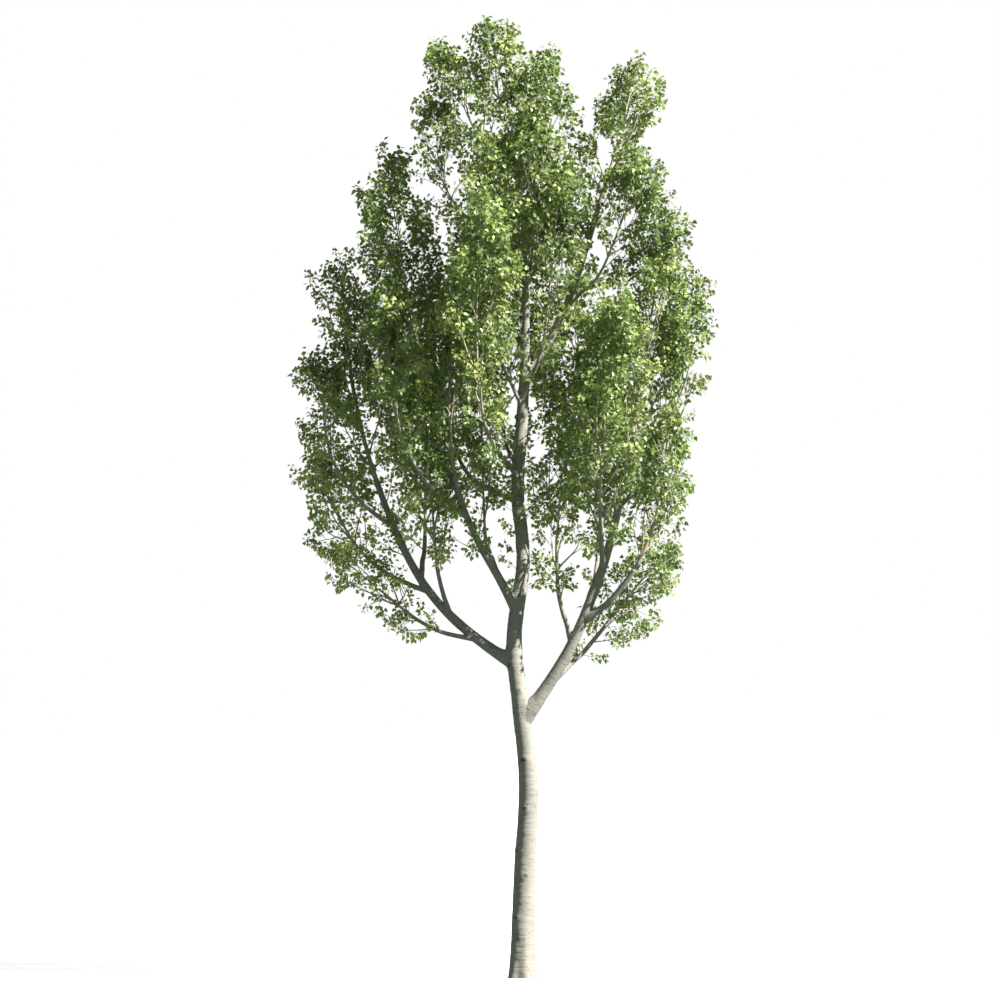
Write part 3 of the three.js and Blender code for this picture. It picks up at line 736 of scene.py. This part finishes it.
def smooth_poplar_bark():
    """Living poplar bark: smooth, pale and waxy, with darker cross lines of pores and small dark scars."""
    material, tree = new_material("smooth_poplar_bark")
    place = add_node(tree, "ShaderNodeAttribute", {"attribute_name": "limb_space"}).outputs["Vector"]
    scar = add_node(tree, "ShaderNodeAttribute", {"attribute_name": "scar"}).outputs["Fac"]
    # Cloudy patches about 250 mm across.
    patches = add_node(tree, "ShaderNodeTexNoise", {"Scale": 4.0, "Detail": 4.0}, {"Vector": place})
    # Rows of pores 110 mm long and 14 mm high, drawn coarse so that they show from across a field.
    rows_at = add_node(tree, "ShaderNodeMapping", {"Scale": (9.0, 9.0, 70.0)}, {"Vector": place})
    rows = add_node(tree, "ShaderNodeTexNoise", {"Scale": 1.0, "Detail": 2.0},
                    {"Vector": rows_at.outputs[0]})
    row_mask = add_node(tree, "ShaderNodeMapRange", {"From Min": 0.54, "From Max": 0.68, "To Max": 0.72},
                        {"Value": rows.outputs["Fac"]})
    # Fine grain of about 12 mm.
    grain = add_node(tree, "ShaderNodeTexNoise", {"Scale": 85.0, "Detail": 3.0}, {"Vector": place})
    # Dark pores about 20 mm across, a hand's breadth apart.
    pores = add_node(tree, "ShaderNodeTexVoronoi", {"Scale": 11.0}, {"Vector": place})
    pore_mask = add_node(tree, "ShaderNodeMapRange", {"From Min": 0.17, "From Max": 0.1, "To Max": 0.72},
                         {"Value": pores.outputs["Distance"]})
    pale = add_node(tree, "ShaderNodeMix",
                    {"data_type": "RGBA", 6: linear("#a8a7a2"), 7: linear("#898781")},
                    {0: patches.outputs["Fac"]})
    lined = add_node(tree, "ShaderNodeMix", {"data_type": "RGBA", 7: linear("#7f7a6e")},
                     {0: row_mask.outputs[0], 6: pale.outputs[2]})
    dotted = add_node(tree, "ShaderNodeMix", {"data_type": "RGBA", 7: linear("#655f54")},
                      {0: pore_mask.outputs[0], 6: lined.outputs[2]})
    scarred = add_node(tree, "ShaderNodeMix", {"data_type": "RGBA", 7: linear("#4f483c")},
                       {0: scar, 6: dotted.outputs[2]})
    height = add_node(tree, "ShaderNodeMath", {"operation": "SUBTRACT"},
                      {0: grain.outputs["Fac"], 1: row_mask.outputs[0]})
    bump = add_node(tree, "ShaderNodeBump", {"Strength": 0.35, "Distance": 0.006},
                    {"Height": height.outputs[0]})
    shader = add_node(tree, "ShaderNodeBsdfPrincipled", {"Roughness": 0.74, "IOR": 1.45},
                      {"Base Color": scarred.outputs[2], "Normal": bump.outputs[0]})
    add_node(tree, "ShaderNodeOutputMaterial", None, {"Surface": shader.outputs[0]})
    return material


def young_poplar_bark():
    """Bark of twigs: thin, olive to grey-brown and slightly glossy, paler in patches."""
    material, tree = new_material("young_poplar_bark")
    place = add_node(tree, "ShaderNodeTexCoord").outputs["Object"]
    # Patches about 60 mm long.
    patches = add_node(tree, "ShaderNodeTexNoise", {"Scale": 16.0, "Detail": 3.0}, {"Vector": place})
    colour = add_node(tree, "ShaderNodeMix",
                      {"data_type": "RGBA", 6: linear("#cbc5b3"), 7: linear("#8f8773")},
                      {0: patches.outputs["Fac"]})
    shader = add_node(tree, "ShaderNodeBsdfPrincipled", {"Roughness": 0.6, "IOR": 1.45},
                      {"Base Color": colour.outputs[2]})
    add_node(tree, "ShaderNodeOutputMaterial", None, {"Surface": shader.outputs[0]})
    return material


# Leaf greens from deep to yellow-green, the colour of the light through each, and its share of the sprays.
LEAF_TINTS = [
    ("leaf_deep_green", "#5d7345", "#8ea756", 0.2),
    ("leaf_mid_green", "#6c834f", "#9ab15b", 0.32),
    ("leaf_fresh_green", "#7c9157", "#a5ba60", 0.3),
    ("leaf_light_green", "#8ea262", "#b0c168", 0.14),
    ("leaf_yellow_green", "#a0b06b", "#bdc970", 0.04),
]


def poplar_leaf(name, face, through):
    """A fresh poplar leaf: waxy on top, and thin enough that the sun shines yellow-green through it."""
    material, tree = new_material(name)
    wax = add_node(tree, "ShaderNodeBsdfPrincipled",
                   {"Base Color": linear(face), "Roughness": 0.36, "IOR": 1.5})
    glow = add_node(tree, "ShaderNodeBsdfTranslucent", {"Color": linear(through)})
    leaf = add_node(tree, "ShaderNodeMixShader", {0: 0.18}, {1: wax.outputs[0], 2: glow.outputs[0]})
    add_node(tree, "ShaderNodeOutputMaterial", None, {"Surface": leaf.outputs[0]})
    return material


bark = smooth_poplar_bark()
young_bark = young_poplar_bark()
leaf_materials = [poplar_leaf(name, face, through) for name, face, through, _ in LEAF_TINTS]


# Meshes.

def new_piece(name, mesh, materials, replaced=()):
    """Puts a finished mesh in the scene as a piece that rides on the tree."""
    for material in materials:
        mesh.materials.append(material)
    piece = bpy.data.objects.new(name, mesh)
    bpy.context.scene.collection.objects.link(piece)
    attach(piece, "root")
    if replaced:
        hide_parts(*replaced)
    return piece


def mottle(spots, size, seed):
    """Smooth lumps of a given size, from -1 to 1."""
    return np.array([noise.noise(Vector(spot / size) + Vector((seed, 0, 0))) for spot in spots])


# Scars of shed twigs on the trunk: height, bearing and half height.
SCARS = [(0.62 + 0.41 * i + 0.3 * chance(5, i), 2 * math.pi * chance(6, i), 0.035 + 0.02 * chance(7, i))
         for i in range(17)]


def forks_of(limb):
    """The limbs that fork from a limb and the one it leaves: line, radius and how far the fill reaches."""
    forks = []
    for name, parent, at, _, _, radii in BOUGHS:
        fill = FORK_FILL * radii[0] * MM
        if limb == parent:
            line, radius = limbs[name]
            near = np.linalg.norm(line - line[0], axis=1) < FORK_REACH
            forks.append((line[near], radius[near], fill))
        if limb == name:
            line, radius = limbs[parent]
            near = np.abs(line[:, 2] - at * MM) < FORK_REACH
            forks.append((line[near], radius[near], fill))
    return forks


def fork_swell(spots, outward, forks):
    """How far bark swells towards another limb close by, so that the two run smoothly together."""
    swell = np.zeros(len(spots))
    for line, radius, fill in forks:
        near = np.flatnonzero(np.linalg.norm(spots - line.mean(axis=0), axis=1) < 2 * FORK_REACH)
        offset = line - spots[near, None]
        gaps = np.linalg.norm(offset, axis=2) - radius
        nearest = gaps.argmin(axis=1)
        row = np.arange(len(near))
        facing = np.sum(offset[row, nearest] * outward[near], axis=1) / radius[nearest]
        share = np.clip(1 - np.abs(gaps[row, nearest]) / fill, 0, 1) ** 2 * np.clip(1 + facing, 0, 1)
        swell[near] = np.maximum(swell[near], share * fill / 4)
    return swell


def wrap_bark(bm, line, radius, sides, is_trunk, seed, forks):
    """Wraps a grid round a limb as its bark, with the swellings and wrinkles of the real one."""
    rings = len(line)
    made = bmesh.ops.create_grid(bm, x_segments=sides, y_segments=rings - 1, size=0.5)["verts"]
    flat = np.array([vert.co for vert in made])
    ring = np.rint((flat[:, 1] + 0.5) * (rings - 1)).astype(int)
    angle = (np.rint((flat[:, 0] + 0.5) * sides) % sides) / sides * 2 * math.pi
    if is_trunk:
        normals = np.tile([1.0, 0, 0], (rings, 1))
        others = np.tile([0.0, 1, 0], (rings, 1))
    else:
        _, normals, others = (each[0] for each in frames_along(line[None]))
    outward = normals[ring] * np.cos(angle)[:, None] + others[ring] * np.sin(angle)[:, None]
    girth = radius[ring].copy()
    height = line[ring, 2]
    if is_trunk:
        fade = np.exp(-height / (ROOT_FLARE_HEIGHT * MM))
        girth *= 1 + ROOT_LOBE_DEPTH * np.cos(ROOT_LOBES * angle) * fade
    reach = np.concatenate([[0], np.cumsum(np.linalg.norm(np.diff(line, axis=0), axis=1))])[ring]
    space = np.column_stack([girth * np.cos(angle), girth * np.sin(angle), reach + seed * 3.7])
    lumps = mottle(space, LUMPS[0], seed)
    wrinkles = mottle(space * [1, 1, WRINKLE_STRETCH], WRINKLES[0], seed + 9)
    girth *= 1 + LUMPS[1] * lumps
    girth += np.minimum(0.03 * girth, WRINKLES[1]) * wrinkles
    scar = np.zeros(len(made))
    if is_trunk:
        furrows = np.abs(mottle(space * [1, 1, 0.3], FURROWS[0], 31))
        girth += FURROWS[1] * (furrows - 0.3) * np.exp(-height / FURROW_HEIGHT)
        for scar_height, bearing, size in SCARS:
            across = np.angle(np.exp(1j * (angle - bearing))) * girth
            away = np.hypot(across / (1.5 * size), (height - scar_height) / size)
            girth += SCAR_DEPTH * np.exp(-away ** 2) - SCAR_DEPTH * np.exp(-(away / 0.4) ** 2)
            scar = np.maximum(scar, np.exp(-(away / 0.55) ** 4) * 0.8)
    girth += fork_swell(line[ring] + outward * girth[:, None], outward, forks)
    spots = line[ring] + outward * girth[:, None]
    space_layer = bm.verts.layers.float_vector["limb_space"]
    scar_layer = bm.verts.layers.float["scar"]
    for vert, spot, inner, mark in zip(made, spots, space, scar):
        vert.co = spot
        vert[space_layer] = inner
        vert[scar_layer] = mark


def bark_piece(name, names):
    """The bark of some limbs as one mesh of closed tubes."""
    bm = bmesh.new()
    bm.verts.layers.float_vector.new("limb_space")
    bm.verts.layers.float.new("scar")
    for limb in names:
        line, radius = limbs[limb]
        is_trunk = limb == "trunk"
        sides = TRUNK_SIDES if is_trunk else BOUGH_SIDES[int(radius.max() <= THICK_BOUGH)]
        wrap_bark(bm, line, radius, sides, is_trunk, list(limbs).index(limb), forks_of(limb))
    bmesh.ops.remove_doubles(bm, verts=bm.verts[:], dist=1e-6)
    bmesh.ops.holes_fill(bm, edges=[edge for edge in bm.edges if edge.is_boundary], sides=0)
    bmesh.ops.recalc_face_normals(bm, faces=bm.faces[:])
    for face in bm.faces:
        face.smooth = len(face.verts) < 5
    mesh = bpy.data.meshes.new(name)
    bm.to_mesh(mesh)
    bm.free()
    return new_piece(name, mesh, [bark], names)


def joined_mesh(name, spots, corners, slots=None):
    """One mesh of many small things from arrays of points and triangles."""
    mesh = bpy.data.meshes.new(name)
    mesh.vertices.add(len(spots))
    mesh.vertices.foreach_set("co", spots.astype(np.float32).ravel())
    mesh.loops.add(corners.size)
    mesh.loops.foreach_set("vertex_index", corners.astype(np.int32).ravel())
    mesh.polygons.add(len(corners))
    mesh.polygons.foreach_set("loop_start", np.arange(0, corners.size, 3, dtype=np.int32))
    if slots is not None:
        mesh.polygons.foreach_set("material_index", slots.astype(np.int32))
    mesh.update(calc_edges=True)
    mesh.validate()
    return mesh


def tubes(lines, radii, sides):
    """Points and triangles of many closed tubes, each with a flat root and a pointed tip."""
    count, points, _ = lines.shape
    _, normals, others = frames_along(lines)
    turn = np.arange(sides) * 2 * math.pi / sides
    circle = normals[:, :-1, None] * np.cos(turn)[:, None] + others[:, :-1, None] * np.sin(turn)[:, None]
    rings = lines[:, :-1, None] + circle * radii[:, :-1, None, None]
    spots = np.concatenate([rings.reshape(count, -1, 3), lines[:, -1:]], axis=1)
    corners = []
    for s in range(sides):
        e = (s + 1) % sides
        for r in range(points - 2):
            a, b, c, d = (k * sides + n for k, n in ((r, s), (r, e), (r + 1, e), (r + 1, s)))
            corners += [(a, b, c), (a, c, d)]
        corners.append(((points - 2) * sides + s, (points - 2) * sides + e, (points - 1) * sides))
        if 0 < s < sides - 1:
            corners.append((0, s + 1, s))
    corners = np.array(corners)[None] + np.arange(count)[:, None, None] * spots.shape[1]
    return spots.reshape(-1, 3), corners.reshape(-1, 3)


def twig_piece(part):
    """The stems, twigs and shoots of a part of the crown."""
    batches = []
    ours = [k for k, row in enumerate(FOLIAGE) if row[0] == part]
    mine = [stem for stem in stems if stem[0] in ours]
    batches.append(tubes(np.array([s[1] for s in mine]), np.array([s[2] for s in mine]), STEM_SIDES))
    mine = [twig for twig in twigs if twig[0] in ours]
    thick = np.array([twig[2] for twig in mine])[:, None]
    taper = thick + (TWIG_TIP_RADIUS - thick) * np.linspace(0, 1, TWIG_POINTS)
    batches.append(tubes(np.array([twig[1] for twig in mine]), taper, TWIG_SIDES))
    lines = np.array([shoot[1] for shoot in shoots if shoot[0] in ours])
    taper = np.tile(np.linspace(SHOOT_RADIUS, SHOOT_RADIUS / 3, SHOOT_POINTS), (len(lines), 1))
    batches.append(tubes(lines, taper, SHOOT_SIDES))
    shifts = np.cumsum([0] + [len(spots) for spots, _ in batches[:-1]])
    spots = np.vstack([spots for spots, _ in batches])
    corners = np.vstack([corners + shift for (_, corners), shift in zip(batches, shifts)])
    mesh = joined_mesh("twigs_" + part, spots, corners)
    mesh.shade_smooth()
    return new_piece("twigs_" + part, mesh, [young_bark])


def leaf_piece(part):
    """The leaves of a part of the crown: folded blades in their own outline, each on a thin stalk."""
    ours = [k for k, row in enumerate(FOLIAGE) if row[0] == part]
    mine = np.isin(leaves["owner"], ours)
    base, direction, facing = leaves["base"][mine], leaves["direction"][mine], leaves["facing"][mine]
    length = leaves["length"][mine][:, None]
    across = np.cross(facing, direction)
    spot = lambda along, aside, lift: base + (direction * along + across * aside + facing * lift) * length
    edge = [(a, w * side, LEAF_FOLD * w - LEAF_ARCH * a * a)
            for side in (1, -1) for a, w in LEAF_EDGE_PLACES]
    points = [spot(0, 0, 0), spot(1, 0, -LEAF_ARCH)]
    points += [spot(*place) for place in edge]
    stalk_side = LEAF_STALK_WIDTH * length * across
    points += [leaves["root"][mine] - stalk_side, leaves["root"][mine] + stalk_side]
    spots = np.stack(points, axis=1)
    corners = np.array([(0, 3, 2), (0, 4, 3), (0, 1, 4), (0, 5, 6), (0, 6, 7), (0, 7, 1), (8, 9, 0)])
    steps = np.arange(len(spots))[:, None, None] * spots.shape[1]
    shares = np.cumsum([tint[3] for tint in LEAF_TINTS])
    slots = np.minimum(np.searchsorted(shares, leaves["tint"][mine]), len(LEAF_TINTS) - 1)
    mesh = joined_mesh("leaves_" + part, spots.reshape(-1, 3), (corners[None] + steps).reshape(-1, 3),
                       np.repeat(slots, len(corners)))
    return new_piece("leaves_" + part, mesh, leaf_materials, [FOLIAGE[k][1] for k in ours])


bark_piece("trunk_bark", ["trunk"])
bark_piece("bough_bark", [row[0] for row in BOUGHS])
for part in ("top", "middle", "left", "right", "back"):
    twig_piece(part)
    leaf_piece(part)


# Floor, light and camera.
floor_mesh = bpy.data.meshes.new("floor")
bm = bmesh.new()
bmesh.ops.create_circle(bm, cap_ends=True, segments=96, radius=FLOOR_RADIUS)
bm.to_mesh(floor_mesh)
bm.free()
floor = bpy.data.objects.new("floor", floor_mesh)
bpy.context.scene.collection.objects.link(floor)
floor_paint, tree = new_material("pale_floor_paint")
paint = add_node(tree, "ShaderNodeBsdfPrincipled", {
    "Base Color": linear("#f2f2f0"), "Roughness": 0.9,
    "Emission Color": linear("#ffffff"), "Emission Strength": 0.75})
add_node(tree, "ShaderNodeOutputMaterial", None, {"Surface": paint.outputs[0]})
floor_mesh.materials.append(floor_paint)
floor.visible_diffuse = False
floor.visible_glossy = False

sun_light = bpy.data.lights.new("sun", "SUN")
sun_light.energy = SUN_STRENGTH
sun_light.angle = math.radians(SUN_WIDTH)
sun_light.color = linear("#fffaf0")[:3]
sun = bpy.data.objects.new("sun", sun_light)
sun.rotation_euler = Vector(SUN_FROM).to_track_quat("Z", "Y").to_euler()
bpy.context.scene.collection.objects.link(sun)

# A white surround that lights the tree less than it shows, more and a little greener from low down.
world = bpy.data.worlds.new("white_surround")
world.use_nodes = True
tree = world.node_tree
tree.nodes.clear()
seen = add_node(tree, "ShaderNodeLightPath").outputs["Is Camera Ray"]
toward = add_node(tree, "ShaderNodeTexCoord").outputs["Generated"]
rise = add_node(tree, "ShaderNodeSeparateXYZ", None, {0: toward}).outputs["Z"]
strength = add_node(tree, "ShaderNodeMapRange", {"From Min": -0.2, "To Min": 0.42, "To Max": 0.19},
                    {"Value": rise})
height = add_node(tree, "ShaderNodeMapRange", {"From Min": -0.25, "From Max": 0.25}, {"Value": rise})
tinge = add_node(tree, "ShaderNodeMix", {"data_type": "RGBA", 6: linear("#c2dcc6"), 7: linear("#e9f2ea")},
                 {0: height.outputs[0]})
sky = add_node(tree, "ShaderNodeBackground", None,
               {"Color": tinge.outputs[2], "Strength": strength.outputs[0]})
white = add_node(tree, "ShaderNodeBackground", {"Color": linear("#ffffff"), "Strength": 1.0})
both = add_node(tree, "ShaderNodeMixShader", None, {0: seen, 1: sky.outputs[0], 2: white.outputs[0]})
add_node(tree, "ShaderNodeOutputWorld", None, {"Surface": both.outputs[0]})
bpy.context.scene.world = world
bpy.context.scene.view_settings.view_transform = "Standard"

camera_data = bpy.data.cameras.new("camera")
camera_data.sensor_width = SENSOR
camera_data.lens = SENSOR * LENS
camera_data.clip_end = 1000
camera = bpy.data.objects.new("camera", camera_data)
camera.location = CAMERA_AT
camera.rotation_euler = (math.radians(90 + CAMERA_TILT), 0, 0)
bpy.context.scene.collection.objects.link(camera)
bpy.context.scene.camera = camera
